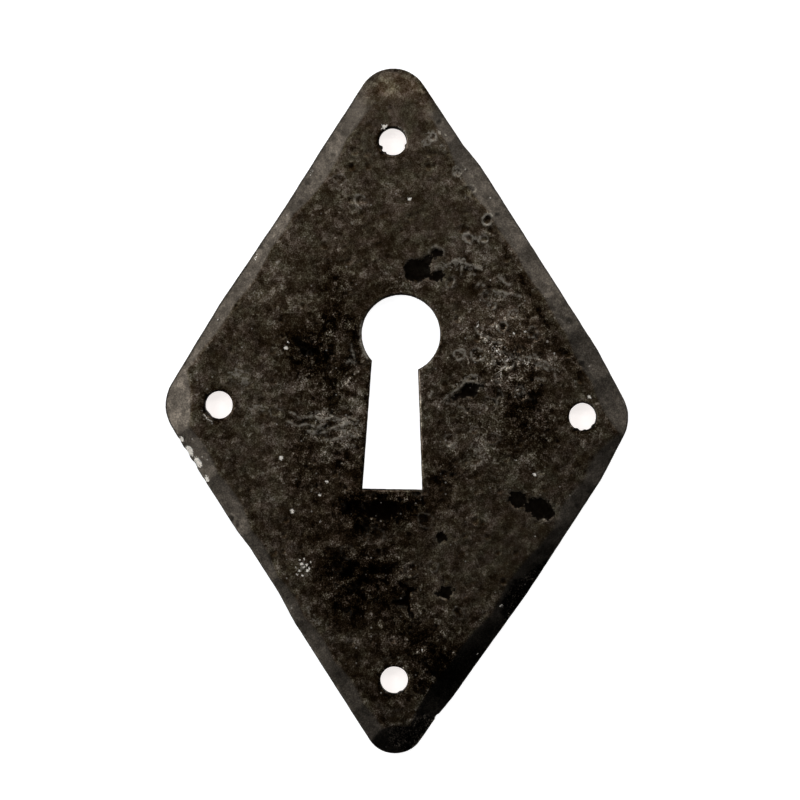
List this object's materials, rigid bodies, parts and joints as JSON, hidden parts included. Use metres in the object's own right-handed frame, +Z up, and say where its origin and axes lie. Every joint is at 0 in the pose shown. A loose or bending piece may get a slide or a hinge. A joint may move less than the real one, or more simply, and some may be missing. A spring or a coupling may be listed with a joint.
{
  "type": "keyhole escutcheon",
  "caption": "Hand-forged black iron diamond plate with a hammered rim, a keyhole with a flared slot, and a small screw hole inside each corner.",
  "frame": {"origin": "middle of the keyhole's round head, on the back face", "axes": "+Z up the keyhole, +X to the right seen from the front, the front face looks along -Y and the back lies in the plane Y = 0"},
  "size_m": [0.0513, 0.002, 0.076],
  "materials": {
    "forged_iron": "forged mild steel under dark fire scale, dull with worn grey patches"
  },
  "bodies": {
    "root": {"escutcheon_plate": "forged_iron"}
  },
  "joints": []
}
